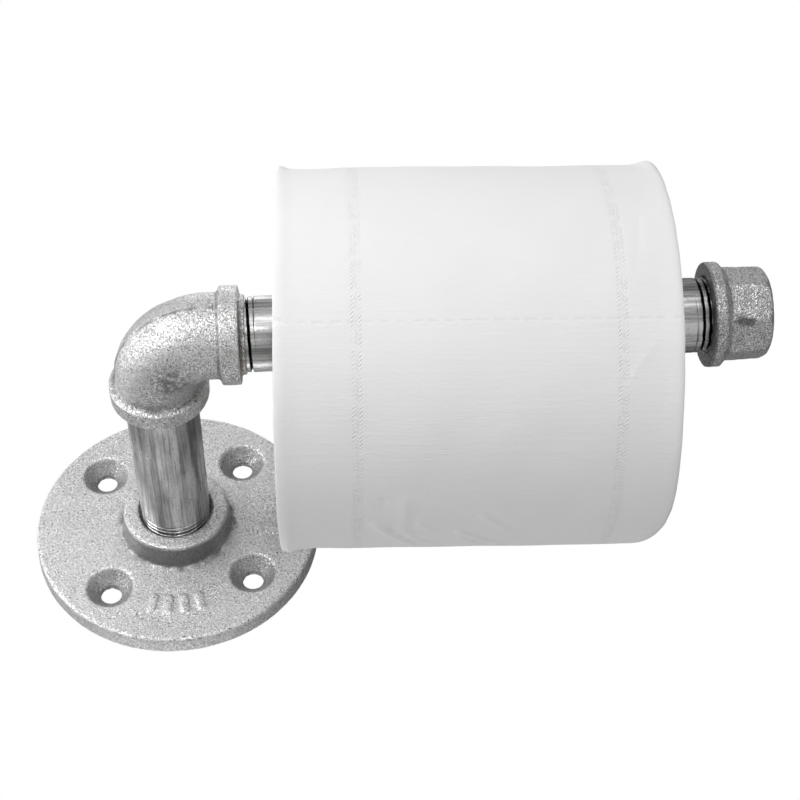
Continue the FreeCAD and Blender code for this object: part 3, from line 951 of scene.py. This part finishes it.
def outer_sheet(material):
    """The last turn of the web, a thin closed sheet from under its own tail to the stuck-down edge."""
    across = sheet_columns()[None, :]
    turn = 2 * math.pi + TAIL_LAP
    share = sheet_rows(turn)[:, None]
    angle = TAIL_ANGLE + share * turn

    away = from_perforation(angle) * roll.outer
    perforation = hump(away, SLIT_WIDTH) * (np.sin(2 * math.pi * across / SLIT_PITCH) > -0.35)
    ledge = hump(away - 0.7 * MM, 0.6 * MM)
    tail = smooth_step(share, 1 - TAIL_TAPER, 1.0)
    ragged = crossed_waves(across * TAIL_RAGS, 0.0, 91, count=8, turns=6)
    raised = ledge * 0.03 * MM - perforation * 0.06 * MM - knurl_bed(across) * 0.03 * MM
    raised = raised + tail * TAIL_LIFT * (1 + 0.5 * ragged)
    base = roll.outer - SHEET_STEP * (1 - (share * turn - TAIL_LAP) / (2 * math.pi)) + dents(across, angle)

    x = stretch_ends(across + 0 * angle, angle)
    torn_angle = angle + tail * TAIL_RAGGED * ragged * share
    upper = ring_points(x, base + raised, torn_angle)
    lower = ring_points(x, base - SHEET, torn_angle)
    beneath = np.append(np.arange(0, across.shape[1] - 1, UNDERSIDE_COLUMNS), across.shape[1] - 1)[::-1]
    points = np.concatenate([upper, lower[:, beneath]], axis=1)

    u = np.concatenate([across, across[:, beneath], across[:, :1]], axis=1)
    u, v = np.broadcast_arrays(u, share * turn * roll.outer)
    marks = np.concatenate([perforation, 0 * perforation[:, beneath]], axis=1)
    uv = np.stack([u, v], axis=2)
    mesh = grid_mesh("outer_sheet", points, uv, close_rows=False, attributes={"perforation": marks})
    close_ends(mesh, *points.shape[:2])
    add_piece("outer_sheet", mesh, "roll", material, roll_matrix())


def close_ends(mesh, rows, columns):
    """Closes the first and the last row of a flat tube of quads."""
    work = bmesh.new()
    work.from_mesh(mesh)
    work.verts.ensure_lookup_table()
    for start in (0, (rows - 1) * columns):
        end = work.faces.new(work.verts[start:start + columns])
        bmesh.ops.triangulate(work, faces=[end], ngon_method="EAR_CLIP")
    bmesh.ops.recalc_face_normals(work, faces=work.faces)
    work.to_mesh(mesh)
    work.free()
    mesh.shade_smooth()
    mesh.set_sharp_from_angle(angle=math.radians(60))


def ply_mesh(name, ply, seam_start):
    """One wound ply of the core: a thin tube with a narrow helical seam on both faces."""
    half = (ply.end - ply.start) / 2
    angle = np.linspace(0, 2 * math.pi, PLY_COLUMNS, endpoint=False)[None, :]
    out = np.linspace(-half, half, PLY_ROWS)[:, None]
    back = out[::-1]

    def seam(x):
        phase = (x / SEAM_LEAD - angle / (2 * math.pi) + seam_start) % 1.0
        return hump(np.minimum(phase, 1 - phase) * SEAM_LEAD, SEAM_WIDTH) * SEAM_DEPTH

    x = np.concatenate([out, back]) + 0 * angle
    radius = np.concatenate([ply.outer - seam(out), ply.inner + seam(back)])
    turn = np.linspace(0, 2 * math.pi * ply.outer, PLY_COLUMNS + 1)[None, :]
    u, v = np.broadcast_arrays(turn, np.concatenate([out, back, out[:1]]))
    mesh = grid_mesh(name, ring_points(x, radius, angle), np.stack([u, v], axis=2))
    mesh.set_sharp_from_angle(angle=math.radians(50))
    return mesh


def make_roll():
    board = board_material()
    for name, node, body, ply, seam_start in (
        ("core_lining", "core_inner_ply", "roll_core", lining, 0.1),
        ("core_wrap", "core_outer_ply", "roll", wrap, 0.6),
    ):
        piece = add_piece(name, ply_mesh(name, ply, seam_start), body, board, roll_matrix())
        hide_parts(node)
    wound_paper(laps_material())
    outer_sheet(tissue_material())


# ---------------------------------------------------------------- the whole scene

make_camera()
make_stage()
make_pipes()
make_castings()
make_roll()
